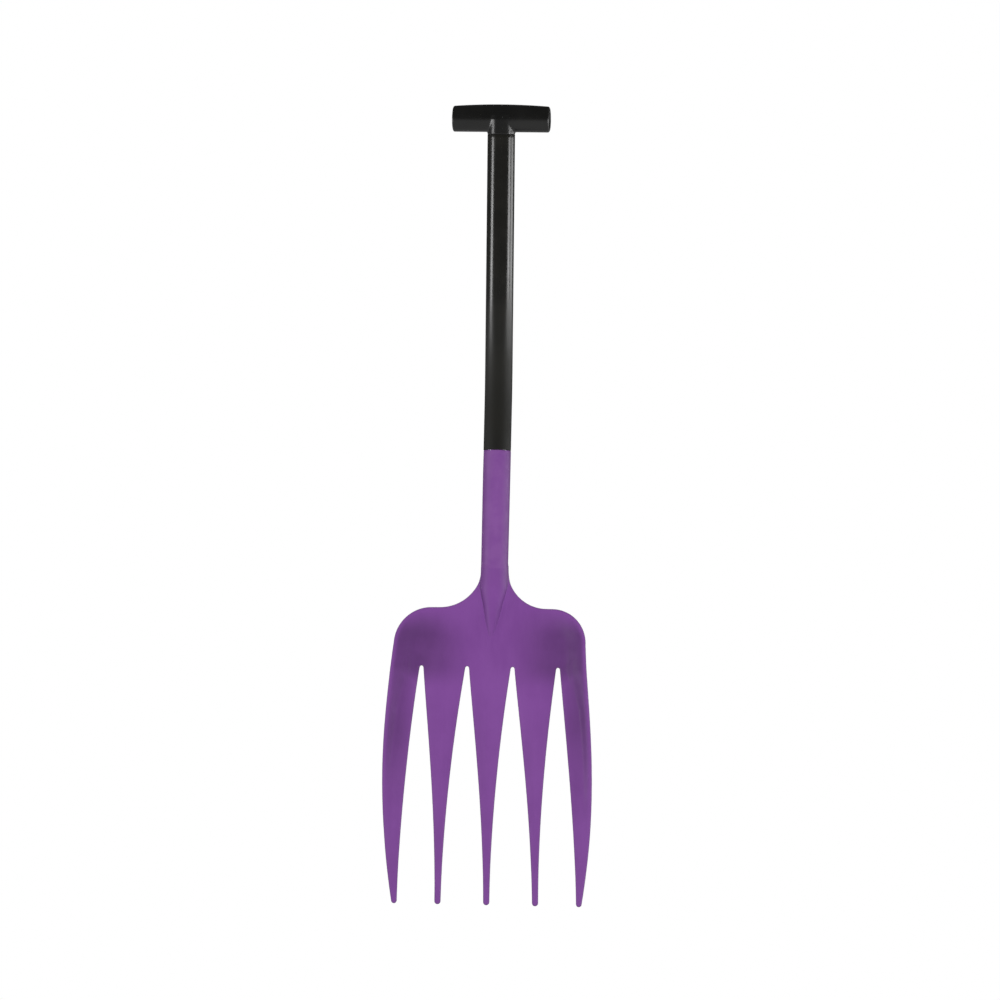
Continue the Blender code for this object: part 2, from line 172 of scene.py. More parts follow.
NECK_FRONT_LOW, NECK_FRONT_HIGH = -0.617, -0.598
NECK_FRONT_CLEARANCE = 0.030
NECK_LENGTHS = (0.600, 0.690, 0.715, 0.745, 0.775, 0.800, 0.830, 0.860)
NECK_SHARES = (0.985, 0.985, 0.85, 0.62, 0.41, 0.26, 0.10, -0.6)
NECK_BLEND = 0.0050
SPINE_BLEND = 0.0035
NECK_TAPER = 0.015
NECK_TAPER_FROM = 0.45
NECK_SET_BACK = 0.0005

# Painted shade darkening the head's hollows: where it starts and where it is at its full share
PAINTED_SHADE_PAN_X = (0.015, 0.100)
PAINTED_SHADE_PAN_Z = (-0.758, -0.722)
PAINTED_SHADE_TINE_X = (0.090, 0.125)
PAINTED_SHADE_TINE_Z = (-0.960, -0.780)
PAINTED_SHADE_TINE_SHARE = 0.75
PAINTED_SHADE_BELOW_SHOULDER_Z = (-0.640, -0.685)
PAINTED_SHADE_IN_FROM_EDGE = (0.0, 0.008)
PAINTED_SHADE_NECK_Z = (-0.640, -0.590)
PAINTED_SHADE_NECK_SHARE = 0.24

# Worn edges: distance in from the head's outline, and in from the crossbar's ends
WORN_HEAD_EDGE = (-0.0022, -0.0002)
WORN_BAR_END = (0.0030, 0.0005)

# Screws, along the shaft's back
GRIP_SCREW_AT = 0.045
HEAD_SCREWS_AT = (0.470, 0.545)
SCREW_RADIUS = 0.0019
SCREW_HEAD_RADIUS = 0.0038
SCREW_HEAD_HEIGHT = 0.0020
SCREW_REACH = 0.0130
CROSS_HALF_LENGTH = 0.0021
CROSS_HALF_WIDTH = 0.00042
CROSS_FLOOR = 0.0008
CROSS_FLARE = 0.25
SCREW_DOME_SHARE = 0.35
SCREW_HEAD_EDGE = 0.0005
SHANK_EDGE = 0.0004
SHANK_INTO_HEAD = 0.0010

HEAD_CELL = 0.0012
GRIP_CELL = 0.0009
SCREW_CELL = 0.00025
OUTLINE_CELL = 0.0006
GRID_MARGIN = 3.37      # in cells; not a whole number, so that no grid plane lies in a flat face
SETTLE_ROUNDS = 3
SLOPE_STEP = 0.05       # in cells
SETTLE_REACH = 0.8      # in cells
LEAST_SLOPE = 0.05      # squared, so that nearly flat places don't throw points away
AROUND_SHAFT = 96
AROUND_CAP = 64


# ---------------------------------------------------------------- shapes

def smooth_step(low, high, value):
    share = np.clip((value - low) / (high - low), 0.0, 1.0)
    return share * share * (3.0 - 2.0 * share)


def join(a, b, blend):
    """Union of two fields, rounded over about the blend's size."""
    share = np.clip(0.5 + 0.5 * (b - a) / blend, 0.0, 1.0)
    return b * (1.0 - share) + a * share - blend * share * (1.0 - share)


def cut(a, b, blend):
    """Field a with field b taken away, its rim rounded over about the blend's size."""
    return -join(-a, b, blend)


def rounded(side, end, radius):
    """Field of an extrusion from its side and end distances, with a rounded edge."""
    side, end = side + radius, end + radius
    outer = np.sqrt(np.maximum(side, 0.0) ** 2 + np.maximum(end, 0.0) ** 2)
    return outer + np.minimum(np.maximum(side, end), 0.0) - radius


def axis_depth(z):
    """Y of the shaft's axis at a height."""
    turn = np.arcsin(np.clip((-CRANK_START - z) / BEND_RADIUS, 0.0, math.sin(CRANK)))
    beyond = np.maximum(BEND_END_Z - z, 0.0)
    return -BEND_RADIUS * (1.0 - np.cos(turn)) - beyond * math.tan(CRANK)


def axis_length(z):
    """Length along the shaft's axis at a height below the bend."""
    return CRANK_START + CRANK_LENGTH + (BEND_END_Z - z) / math.cos(CRANK)


def shaft_point(length):
    bent = min(max(length - CRANK_START, 0.0), CRANK_LENGTH) / BEND_RADIUS
    straight = min(length, CRANK_START)
    beyond = max(length - CRANK_START - CRANK_LENGTH, 0.0)
    y = -BEND_RADIUS * (1.0 - math.cos(bent)) - beyond * math.sin(CRANK)
    z = -straight - BEND_RADIUS * math.sin(bent) - beyond * math.cos(CRANK)
    return Vector((0.0, y, z))


def shaft_back(length):
    bent = min(max(length - CRANK_START, 0.0) / CRANK_LENGTH, 1.0) * CRANK
    return Vector((0.0, math.cos(bent), -math.sin(bent)))


def screw_hole(x, y, z, length, depth):
    """Field of a round hole square to the shaft's back, down to a depth below its surface."""
    out = shaft_back(length)
    seat = shaft_point(length)
    rise = (y - seat.y) * out.y + (z - seat.z) * out.z
    across = (y - seat.y) * out.z - (z - seat.z) * out.y
    radial = np.sqrt(x * x + across * across) - (SCREW_RADIUS + GAP)
    return np.maximum(radial, SHAFT_RADIUS - depth - rise)


def side_half_width(z):
    rise = z - WIDEST_Z
    curve = SIDE_CURVE * rise * rise
    curve = np.where(rise > 0.0, curve * (1.0 - SIDE_EASE * (rise / SIDE_EASE_SPAN) ** 2), curve)
    return WIDEST_HALF_WIDTH - curve


def centre_profile(z):
    drop = PAN_END_Z - z
    fade = 1.0 - np.exp(-np.maximum(drop, 0.0) / TINE_STRAIGHTENING)
    tines = PAN_END_Y - (PAN_SLOPE + TIP_SLOPE) * TINE_STRAIGHTENING * fade + TIP_SLOPE * drop
    return np.where(drop <= 0.0, PAN_END_Y - drop * PAN_SLOPE, tines)


def edge_distance(x, z):
    """Distance in from the outer edge of the shoulders and sides."""
    top = SHOULDER_Z - z
    side = np.maximum(SHOULDER_HALF_WIDTH, side_half_width(z)) - np.abs(x)
    corner = np.hypot(np.maximum(CORNER_RADIUS - top, 0.0), np.maximum(CORNER_RADIUS - side, 0.0))
    inside = np.where((top < CORNER_RADIUS) & (side < CORNER_RADIUS),
                      CORNER_RADIUS - corner, np.minimum(top, side))
    return np.maximum(inside, 0.0)


def tine_edges(number, z):
    """Left and right edge of tine 0 to 4 at a height, from left to right."""
    along = np.clip((SLOT_Z - z) / TINE_LENGTH, 0.0, 1.0)
    side = -1.0 if number < 2 else 1.0
    if number in (0, 4):
        taper = (1.0 - along) ** OUTER_TAPER_POWER
        inner = OUTER_INNER_EDGE_TIP - (OUTER_INNER_EDGE_TIP - OUTER_INNER_EDGE_ROOT) * taper
        edges = [inner, side_half_width(z)]
    else:
        taper = (1.0 - along ** TAPER_START_POWER) ** TAPER_POWER
        half = TIP_HALF_WIDTH + (TINE_ROOT_HALF_WIDTH - TIP_HALF_WIDTH) * taper
        middle = 0.0 if number == 2 else TINE_SPACING + TINE_SPLAY * along
        edges = [middle - half, middle + half]
    if side < 0.0:
        edges = [-edges[1], -edges[0]]
    return edges


def along_stations(z, values):
    return np.interp(-z, [-station for station in WALL_STATIONS], values)


def front_surface(x, z):
    """Depth of the dished front surface: curled up side walls with a flat lip round them."""
    wall = 1.0 - smooth_step(LIP_WIDTH, along_stations(z, WALL_WIDTHS), edge_distance(x, z))
    wall = wall * along_stations(z, WALL_HEIGHTS) * smooth_step(WALL_FROM, WALL_FULL, np.abs(x))
    fade = np.exp(-np.maximum(PAN_END_Z - z, 0.0) / BOWL_FADE)
    bowl = BOWL_DEPTH * fade * (x / SHOULDER_HALF_WIDTH) ** 2
    return centre_profile(z) - bowl - wall


def tine_outline(number, steps=60):
    """Points down the left edge of a tine, round its tip and up its right edge."""
    low = TIP_Z + TIP_HALF_WIDTH
    heights = SLOT_Z + (low - SLOT_Z) * np.linspace(0.0, 1.0, steps)
    left, right = tine_edges(number, heights)
    middle, half = (left[-1] + right[-1]) / 2, (right[-1] - left[-1]) / 2
    angles = np.linspace(0.0, math.pi, 14)[1:-1]
    tip = np.stack([middle - half * np.cos(angles), low - TIP_HALF_WIDTH * np.sin(angles)], 1)
    down = np.stack([left, heights], 1)
    up = np.stack([right, heights], 1)[::-1]
    return np.concatenate([down, tip, up])


def slot_outline(number):
    """Points over the round top of the slot to the right of a tine."""
    start = tine_edges(number, np.array(SLOT_Z))[1]
    end = tine_edges(number + 1, np.array(SLOT_Z))[0]
    angles = np.linspace(0.0, math.pi, 12)[1:-1]
    x = (start + end) / 2 - (end - start) / 2 * np.cos(angles)
    return np.stack([x, SLOT_Z + SLOT_RADIUS * np.sin(angles)], 1)


def shoulder_outline():
    """Right-hand edge from the throat down to the slots' tops."""
    angles = np.linspace(0.0, math.pi / 2, 24)
    start = SHAFT_RADIUS - THROAT_OVERLAP
    throat = np.stack([start + THROAT_FILLET * (1.0 - np.cos(angles)),
                       SHOULDER_Z + THROAT_FILLET * (1.0 - np.sin(angles))], 1)
    centre = SHOULDER_HALF_WIDTH - CORNER_RADIUS
    corner = np.stack([centre + CORNER_RADIUS * np.sin(angles),
                       SHOULDER_Z - CORNER_RADIUS * (1.0 - np.cos(angles))], 1)
    heights = np.linspace(SHOULDER_Z - CORNER_RADIUS, SLOT_Z, 8)[1:-1]
    side = np.stack([side_half_width(heights), heights], 1)
    return np.concatenate([throat, corner, side])


def head_outline():
    """Closed outline of the head's sheet in x and z."""
    right = shoulder_outline()
    left = right * np.array([-1.0, 1.0])
    pieces = [left]
    for number in range(5):
        pieces.append(tine_outline(number))
        if number < 4:
            pieces.append(slot_outline(number))
    pieces.append(right[::-1])
    return np.concatenate(pieces)


def polygon_distance(x, z, outline):
    """Signed distance of points to a closed outline, negative inside."""
    nearest = np.full(np.broadcast(x, z).shape, 1.0)
    crossings = np.zeros(nearest.shape, bool)
    for (ax, az), (bx, bz) in zip(outline, np.roll(outline, -1, axis=0)):
        dx, dz = bx - ax, bz - az
        share = np.clip(((x - ax) * dx + (z - az) * dz) / (dx * dx + dz * dz), 0.0, 1.0)
        nearest = np.minimum(nearest, (x - ax - share * dx) ** 2 + (z - az - share * dz) ** 2)
        if dz != 0.0:
            spans = (az > z) != (bz > z)
            crossings ^= spans & (x < ax + (z - az) * dx / dz)
    return np.sqrt(nearest) * np.where(crossings, -1.0, 1.0)


class OutlineMap:
    """The outline's signed distance on a fine grid, read with straight interpolation."""

    def __init__(self, outline, cell, margin=0.012):
        low, high = outline.min(0) - margin, outline.max(0) + margin
        self.low, self.cell = low, cell
        self.x = np.arange(low[0], high[0] + cell, cell)
        self.z = np.arange(low[1], high[1] + cell, cell)
        self.grid = polygon_distance(self.x[:, None], self.z[None, :], outline)

    def __call__(self, x, z):
        across = np.clip((x - self.low[0]) / self.cell, 0.0, len(self.x) - 1.001)
        up = np.clip((z - self.low[1]) / self.cell, 0.0, len(self.z) - 1.001)
        i, j = across.astype(int), up.astype(int)
        s, t = across - i, up - j
        below = self.grid[i, j] * (1.0 - s) + self.grid[i + 1, j] * s
        above = self.grid[i, j + 1] * (1.0 - s) + self.grid[i + 1, j + 1] * s
        return below * (1.0 - t) + above * t


OUTLINE = OutlineMap(head_outline(), OUTLINE_CELL)


def throat_bulge(x, z):
    """Height of the neck's front that runs out on the pan as a pointed cone."""
    rise = np.maximum(centre_profile(z) - (axis_depth(z) - SHAFT_RADIUS), 0.0)
    half = np.interp(z, TONGUE_HEIGHTS, TONGUE_HALF_WIDTHS)
    power = SHARP_TONGUE + (ROUND_TONGUE - SHARP_TONGUE) * smooth_step(TONGUE_LOW, TONGUE_HIGH, z)
    above_tip = smooth_step(TONGUE_HEIGHTS[0], TONGUE_HEIGHTS[1], z)
    return rise * above_tip * np.maximum(1.0 - (x / half) ** 2, 0.0) ** power


def tine_ridges(x, z):
    """Low roof down the front of every tine, and a fine crease above the second and fourth."""
    along = (SLOT_Z - z) / TINE_LENGTH
    crest = 0.0
    for number in range(5):
        left, right = tine_edges(number, z)
        middle, half = (left + right) / 2, (right - left) / 2
        across = np.sqrt((x - middle) ** 2 + RIDGE_ROUNDING ** 2)
        start = OUTER_RIDGE_START if number in (0, 4) else 0.0
        rise = RIDGE_SLOPE * smooth_step(start, start + RIDGE_FADE, along)
        crest = np.maximum(crest, rise * (half - across))
    crease = CREASE_HEIGHT * np.exp(-((np.abs(x) - TINE_SPACING) / CREASE_HALF_WIDTH) ** 2)
    crease = crease * smooth_step(*CREASE_TOP_Z, z) * smooth_step(*CREASE_END_Z, z)
    return crest + crease


def neck_field(x, y, z):
    """Socket neck: round, and tapering into the middle tine's back below the pan."""
    length = axis_length(z)
    share = np.interp(length, NECK_LENGTHS, NECK_SHARES)
    upper = 1.0 - NECK_TAPER * smooth_step(NECK_TAPER_FROM, NECK_LENGTHS[0], length)
    share = np.where(length < NECK_LENGTHS[0], upper, share)
    axis = axis_depth(z)
    sunk = centre_profile(z) + SHEET
    centre = np.minimum(axis, axis * share + sunk * (1.0 - share))
    radial = np.sqrt(x * x + ((y - centre) * math.cos(CRANK)) ** 2) - SHAFT_RADIUS * share
    mouth = shaft_point(SOCKET_MOUTH)
    along = -(y - mouth.y) * math.sin(CRANK) - (z - mouth.z) * math.cos(CRANK)
    return rounded(radial, -along, SOCKET_EDGE)


def spine_field(x, y, z, number):
    """Rib down the back of one tine."""
    left, right = tine_edges(number, np.minimum(z, SLOT_Z))
    top, low = SLOT_Z + SPINE_OVER_ROOT, TIP_Z + SPINE_SHORT_OF_TIP
    heights = (low - SPINE_GONE, low, low + SPINE_TIP_TAPER,
               top - SPINE_ROOT_TAPER, top, top + SPINE_RUN_OUT)
    radii = (-SPINE_GONE, 0.0, SPINE_TIP, SPINE_ROOT, SPINE_ROOT_END, -SPINE_GONE)
    radius = np.interp(z, heights, radii)
    front = front_surface((left + right) / 2, z)
    behind = y - front - SHEET - SPINE_SET_BACK
    rib = np.sqrt((x - (left + right) / 2) ** 2 + behind ** 2) - radius
    return np.maximum(rib, front + 0.5 * SHEET - y)


def head_field(x, y, z):
    """The whole head: sheet, neck and spines joined, socket and screw holes cut."""
    front = front_surface(x, z) - throat_bulge(x, z) - tine_ridges(x, z)
    back = front_surface(x, z) + SHEET
    sheet = rounded(OUTLINE(x, z), np.maximum(front - y, y - back), EDGE_ROUNDING)
    lift = NECK_FRONT_CLEARANCE * smooth_step(NECK_FRONT_LOW, NECK_FRONT_HIGH, z)
    neck = np.maximum(neck_field(x, y, z), front + NECK_SET_BACK - lift - y)
    field = join(sheet, neck, NECK_BLEND)
    for number in range(5):
        field = join(field, spine_field(x, y, z, number), SPINE_BLEND)
    bore = np.sqrt(x * x + ((y - axis_depth(z)) * math.cos(CRANK)) ** 2) - (TUBE_RADIUS + GAP)
    bottom = shaft_point(SOCKET_BOTTOM)
    past = -(y - bottom.y) * math.sin(CRANK) - (z - bottom.z) * math.cos(CRANK)
    field = cut(field, np.maximum(bore, past), SOCKET_EDGE)
    for length in HEAD_SCREWS_AT:
        hole = screw_hole(x, y, z, length, SHAFT_RADIUS - TUBE_BORE)
        field = cut(field, hole, HOLE_EDGE)
    return field


def grip_field(x, y, z):
    """T-grip: crowned crossbar, domed stem, spigot and end bores."""
    crown = BAR_CROWN * (1.0 - (x / BAR_HALF) ** 2) / BAR_RADIUS
    height = z - BAR_RADIUS
    height = np.where(height > 0.0, height / (1.0 + crown), height)
    oval = np.sqrt((y * BAR_RADIUS / BAR_DEPTH) ** 2 + height * height)
    bar = rounded((oval - BAR_RADIUS) * BAR_DEPTH / BAR_RADIUS, np.abs(x) - BAR_HALF, BAR_ROUNDING)
    around = np.sqrt(x * x + y * y)
    share = np.interp(z - BAR_RADIUS, DOME_RISE, DOME_SHARE)
    stem = rounded(around - SHAFT_RADIUS * share, -STEM_END - JOINT_CLOSING - z, SOFT_EDGE)
    spigot_ends = np.maximum(z + SPIGOT_START, -z - SPIGOT_END)
    spigot = rounded(around - (TUBE_BORE - GAP), spigot_ends, SPIGOT_EDGE)
    field = np.minimum(join(bar, stem, BAR_BLEND), spigot)
    radial = np.sqrt(y * y + height * height)
    bore = np.maximum(radial - (CAP_RADIUS + GAP), BAR_HALF - BAR_BORE_DEPTH - np.abs(x))
    field = cut(field, bore, BORE_EDGE)
    return np.maximum(field, -screw_hole(x, y, z, GRIP_SCREW_AT, SCREW_REACH + 2 * GAP))


def screw_field(x, y, z):
    """Pan-head screw along +Z, its seat at z = 0, with a cross recess."""
    around = np.sqrt(x * x + y * y)
    dome = SCREW_HEAD_HEIGHT * (1.0 - SCREW_DOME_SHARE * (around / SCREW_HEAD_RADIUS) ** 2)
    head = rounded(around - SCREW_HEAD_RADIUS, np.maximum(z - dome, -z), SCREW_HEAD_EDGE)
    shank_ends = np.maximum(z - SHANK_INTO_HEAD, -SCREW_REACH - z)
    shank = rounded(around - SCREW_RADIUS, shank_ends, SHANK_EDGE)
    half = CROSS_HALF_WIDTH + CROSS_FLARE * (z - CROSS_FLOOR)
    arm_x = np.maximum(np.abs(y) - half, np.abs(x) - CROSS_HALF_LENGTH)
    arm_y = np.maximum(np.abs(x) - half, np.abs(y) - CROSS_HALF_LENGTH)
    recess = np.maximum(np.minimum(arm_x, arm_y), CROSS_FLOOR - z)
    return cut(np.minimum(head, shank), recess, HOLE_EDGE)


# ---------------------------------------------------------------- meshes from fields

CORNERS = [(i, j, k) for i in (0, 1) for j in (0, 1) for k in (0, 1)]
CELL_EDGES = [(a, b) for a in range(8) for b in range(a + 1, 8)
              if sum(abs(p - q) for p, q in zip(CORNERS[a], CORNERS[b])) == 1]


def cell_points(values, cells, low, cell):
    """One point in each cell that the surface crosses: the mean of its edge crossings."""
    corner = np.array(CORNERS)
    found = np.stack([values[tuple((cells + c).T)] for c in corner], 1)
    total = np.zeros((len(cells), 3))
    count = np.zeros((len(cells), 1))
    for a, b in CELL_EDGES:
        va, vb = found[:, a], found[:, b]
        crossed = (va < 0.0) != (vb < 0.0)
        share = np.where(crossed, va / np.where(crossed, va - vb, 1.0), 0.0)[:, None]
        total += np.where(crossed[:, None], corner[a] + share * (corner[b] - corner[a]), 0.0)
        count += crossed[:, None]
    return low + cell * (cells + total / count)


def surface_quads(inside, index):
    """Quads across every grid edge whose two ends lie on different sides of the surface."""
    quads = []
    for axis in range(3):
        u, v = (axis + 1) % 3, (axis + 2) % 3
        first = np.take(inside, range(inside.shape[axis] - 1), axis)
        second = np.take(inside, range(1, inside.shape[axis]), axis)
        place = np.argwhere(first != second)
        place = place[(place[:, u] > 0) & (place[:, v] > 0)]
        du, dv = np.eye(3, dtype=int)[u], np.eye(3, dtype=int)[v]
        ring = [place - du - dv, place - dv, place, place - du]
        quad = np.stack([index[tuple(p.T)] for p in ring], 1)
        entering = second[tuple(place.T)]
        quad[entering] = quad[entering][:, ::-1]
        quads.append(quad)
    return np.concatenate(quads)


def settle(points, field, step, reach, rounds=2):
    """Moves points along the field's slope onto its surface."""
    for _ in range(rounds):
        value = field(*points.T)
        slope = np.stack([(field(*(points + d).T) - field(*(points - d).T)) / (2 * step)
                          for d in np.eye(3) * step], 1)
        size = np.maximum((slope ** 2).sum(1), LEAST_SLOPE)
        move = -slope * (value / size)[:, None]
        length = np.maximum(np.linalg.norm(move, axis=1), 1e-12)
        points = points + move * np.minimum(1.0, reach / length)[:, None]
    return points


def relax(points, quads):
    """Moves every point half-way to the middle of its neighbours."""
    ends = np.concatenate([quads[:, [i, (i + 1) % 4]] for i in range(4)])
    count = np.bincount(ends[:, 0], minlength=len(points))[:, None]
    total = np.stack([np.bincount(ends[:, 0], points[ends[:, 1], axis], len(points))
                      for axis in range(3)], 1)
    return 0.5 * points + 0.5 * total / np.maximum(count, 1)


def sculpt(name, field, low, high, cell):
    """Closed quad mesh of the surface where the field is zero."""
    low = np.array(low) - GRID_MARGIN * cell
    counts = [int(math.ceil((b - a) / cell)) + 4 for a, b in zip(low, high)]
    x, y, z = (a + cell * np.arange(n) for a, n in zip(low, counts))
    values = field(x[:, None, None], y[None, :, None], z[None, None, :])
    inside = values < 0.0
    mixed = np.zeros([n - 1 for n in counts], np.int8)
    for i, j, k in CORNERS:
        mixed += inside[i:i + counts[0] - 1, j:j + counts[1] - 1, k:k + counts[2] - 1]
    cells = np.argwhere((mixed > 0) & (mixed < 8))
    index = np.full(mixed.shape, -1, np.int32)
    index[tuple(cells.T)] = np.arange(len(cells))
    points = cell_points(values, cells, low, cell)
    quads = surface_quads(inside, index)
    for _ in range(SETTLE_ROUNDS):
        points = settle(relax(points, quads), field, cell * SLOPE_STEP, cell * SETTLE_REACH)
    mesh = bpy.data.meshes.new(name)
    mesh.from_pydata(points.tolist(), [], quads.tolist())
    mesh.shade_smooth()
    return add_object(name, mesh)


def add_object(name, mesh):
    item = bpy.data.objects.new(name, mesh)
    bpy.context.scene.collection.objects.link(item)
    return item


def shaft_lathe(name, loop, around=AROUND_SHAFT):
    """Ring-shaped solid round the shaft's axis from a closed loop of (length, radius)."""
    points, quads = [], []
    for length, radius in loop:
        centre, back = shaft_point(length), shaft_back(length)
        for step in range(around):
            angle = 2.0 * math.pi * step / around
            spoke = Vector((math.cos(angle), 0.0, 0.0)) + back * math.sin(angle)
            points.append(centre + radius * spoke)
    for ring in range(len(loop)):
        following = (ring + 1) % len(loop)
        for step in range(around):
            after = (step + 1) % around
            quads.append((ring * around + step, following * around + step,
                          following * around + after, ring * around + after))
    mesh = bpy.data.meshes.new(name)
    mesh.from_pydata(points, [], quads)
    mesh.shade_smooth()
    return add_object(name, mesh)


def turned(name, profile, place, around=AROUND_CAP):
    """Closed turned solid about its own Z from a profile of (radius, z) that ends on the axis."""
    bm = bmesh.new()
    rings = []
    for radius, z in profile:
        if radius == 0.0:
            rings.append([bm.verts.new((0.0, 0.0, z))])
            continue
        angles = [2.0 * math.pi * step / around for step in range(around)]
        rings.append([bm.verts.new((radius * math.cos(a), radius * math.sin(a), z)) for a in angles])
    for upper, lower in zip(rings, rings[1:]):
        for step in range(around):
            after = (step + 1) % around
            corners = [upper[step % len(upper)], lower[step % len(lower)],
                       lower[after % len(lower)], upper[after % len(upper)]]
            bm.faces.new(list(dict.fromkeys(corners)))
    bmesh.ops.recalc_face_normals(bm, faces=bm.faces)
    mesh = bpy.data.meshes.new(name)
    bm.to_mesh(mesh)
    bm.free()
    mesh.transform(place)
    mesh.shade_smooth()
    mesh.set_sharp_from_angle(angle=math.radians(50.0))
    return add_object(name, mesh)


# ---------------------------------------------------------------- materials

class Nodes:
    """Short way to lay out a material's nodes."""

    def __init__(self, name):
        self.material = bpy.data.materials.new(name)
        self.material.use_nodes = True
        self.tree = self.material.node_tree
        self.shader = self.tree.nodes["Principled BSDF"]
        self.place = self.add("ShaderNodeTexCoord").outputs["Object"]

    def add(self, kind, **settings):
        node = self.tree.nodes.new(kind)
        for key, value in settings.items():
            setattr(node, key, value)
        return node

    def put(self, target, value):
        if isinstance(value, bpy.types.NodeSocket):
            self.tree.links.new(value, target)
        else:
            target.default_value = value

    def stretched(self, scale):
        node = self.add("ShaderNodeMapping")
        self.put(node.inputs["Vector"], self.place)
        node.inputs["Scale"].default_value = scale
        return node.outputs["Vector"]

    def noise(self, scale, detail=3.0, rough=0.55, where=None):
        node = self.add("ShaderNodeTexNoise")
        self.put(node.inputs["Vector"], where or self.place)
        node.inputs["Scale"].default_value = scale
        node.inputs["Detail"].default_value = detail
        node.inputs["Roughness"].default_value = rough
        return node.outputs["Fac"]

    def spread(self, value, low, high, to_low=0.0, to_high=1.0):
        node = self.add("ShaderNodeMapRange", interpolation_type="SMOOTHSTEP")
        self.put(node.inputs["Value"], value)
        limits = {"From Min": low, "From Max": high, "To Min": to_low, "To Max": to_high}
        for key, number in limits.items():
            node.inputs[key].default_value = number
        return node.outputs["Result"]

    def math(self, operation, a, b):
        node = self.add("ShaderNodeMath", operation=operation)
        self.put(node.inputs[0], a)
        self.put(node.inputs[1], b)
        return node.outputs[0]

    def mix(self, share, a, b):
        node = self.add("ShaderNodeMix", data_type="RGBA")
        self.put(node.inputs["Factor"], share)
        self.put(node.inputs["A"], (*a, 1.0) if isinstance(a, tuple) else a)
        self.put(node.inputs["B"], (*b, 1.0) if isinstance(b, tuple) else b)
        return node.outputs["Result"]

    def attribute(self, name):
        return self.add("ShaderNodeAttribute", attribute_name=name).outputs["Fac"]

    def axis(self, name):
        node = self.add("ShaderNodeSeparateXYZ")
        self.put(node.inputs[0], self.place)
        return node.outputs[name]

    def bump(self, layers):
        """Bump from (height, strength, distance) layers, each on top of the one before."""
        normal = None
        for height, strength, distance in layers:
            node = self.add("ShaderNodeBump")
            node.inputs["Strength"].default_value = strength
            node.inputs["Distance"].default_value = distance
            self.put(node.inputs["Height"], height)
            if normal is not None:
                self.put(node.inputs["Normal"], normal)
            normal = node.outputs["Normal"]
        self.put(self.shader.inputs["Normal"], normal)

    def finish(self, color, roughness, **constants):
        self.put(self.shader.inputs["Base Color"], color)
        self.put(self.shader.inputs["Roughness"], roughness)
        for key, value in constants.items():
            self.shader.inputs[key.replace("_", " ")].default_value = value
        return self.material


PURPLE_DEEP = (0.186, 0.060, 0.272)
PURPLE = (0.208, 0.069, 0.302)
PURPLE_FLOW = (0.226, 0.080, 0.322)
PURPLE_SPECK = (0.150, 0.045, 0.215)
PURPLE_WORN = (0.300, 0.140, 0.370)
# Colour of the painted shade laid into the dish's hollows.
PURPLE_PAINTED_SHADE = (0.045, 0.019, 0.062)
SLEEVE_BLACK = (0.0046, 0.0046, 0.0034)
SLEEVE_FADED = (0.0078, 0.0075, 0.0056)
SLEEVE_STREAK = (0.020, 0.020, 0.017)
SLEEVE_DULL_Z, SLEEVE_POLISHED_Z = -0.390, -0.170
SLEEVE_DULL, SLEEVE_POLISHED = 0.72, 0.22
GRIP_BLACK = (0.0036, 0.0036, 0.0033)
GRIP_FADED = (0.0060, 0.0060, 0.0056)
GRIP_WORN = (0.030, 0.030, 0.029)
POLISHED_IOR = 1.65


def purple_plastic():
    """Satin moulded plastic: cloudy, darkened in the dish by painted shade and paler at its worn
    edges.
    """
    n = Nodes("purple_plastic")
    cloud = n.spread(n.noise(14.0, 4.0), 0.30, 0.70)
    flow = n.spread(n.noise(60.0, 5.0, 0.6, n.stretched((1.0, 1.0, 0.12))), 0.35, 0.75)
    speck = n.spread(n.noise(900.0, 2.0), 0.62, 0.80)
    color = n.mix(cloud, PURPLE_DEEP, PURPLE)
    color = n.mix(n.math("MULTIPLY", flow, 0.35), color, PURPLE_FLOW)
    color = n.mix(n.math("MULTIPLY", speck, 0.10), color, PURPLE_SPECK)
    patchy = n.spread(n.noise(18.0, 4.0), 0.30, 0.70, 0.44, 0.57)
    # Painted shade: a darker purple laid into the dish's hollows, down the outer tines and a little on
    # the neck.
    color = n.mix(n.math("MULTIPLY", n.attribute("painted_shade"), patchy), color, PURPLE_PAINTED_SHADE)
    uneven = n.spread(n.noise(45.0, 4.0), 0.35, 0.65, 0.3, 1.0)
    edge = n.math("MULTIPLY", n.attribute("edge"), uneven)
    color = n.mix(n.math("MULTIPLY", edge, 0.22), color, PURPLE_WORN)
    scratch = n.spread(n.noise(420.0, 2.0, 0.4, n.stretched((1.0, 1.0, 0.03))), 0.66, 0.74)
    rough = n.spread(n.noise(38.0, 4.0), 0.25, 0.75, 0.46, 0.58)
    rough = n.math("ADD", rough, n.math("MULTIPLY", scratch, 0.10))
    n.bump([(n.noise(120.0, 2.0), 0.10, 0.0010), (n.noise(1500.0, 2.0), 0.18, 0.00012),
            (scratch, 0.25, -0.00005)])
    return n.finish(color, rough, IOR=1.49, Specular_IOR_Level=0.28)


def black_sleeve():
    """Extruded plastic, streaked along the shaft, polished above and dull towards the head."""
    n = Nodes("black_sleeve")
    streak = n.noise(700.0, 3.0, 0.6, n.stretched((1.0, 1.0, 0.015)))
    cloud = n.noise(22.0, 4.0)
    color = n.mix(n.spread(cloud, 0.3, 0.7), SLEEVE_BLACK, SLEEVE_FADED)
    color = n.mix(n.math("MULTIPLY", n.spread(streak, 0.55, 0.8), 0.25), color, SLEEVE_STREAK)
    polish = n.spread(n.axis("Z"), SLEEVE_DULL_Z, SLEEVE_POLISHED_Z, SLEEVE_DULL, SLEEVE_POLISHED)
    rough = n.math("ADD", polish, n.spread(cloud, 0.3, 0.7, -0.02, 0.03))
    rough = n.math("ADD", rough, n.spread(streak, 0.5, 0.8, 0.0, 0.05))
    n.bump([(streak, 0.03, 0.0002), (n.noise(1400.0, 2.0), 0.03, 0.0001)])
    return n.finish(color, rough, IOR=POLISHED_IOR, Specular_IOR_Level=0.5)


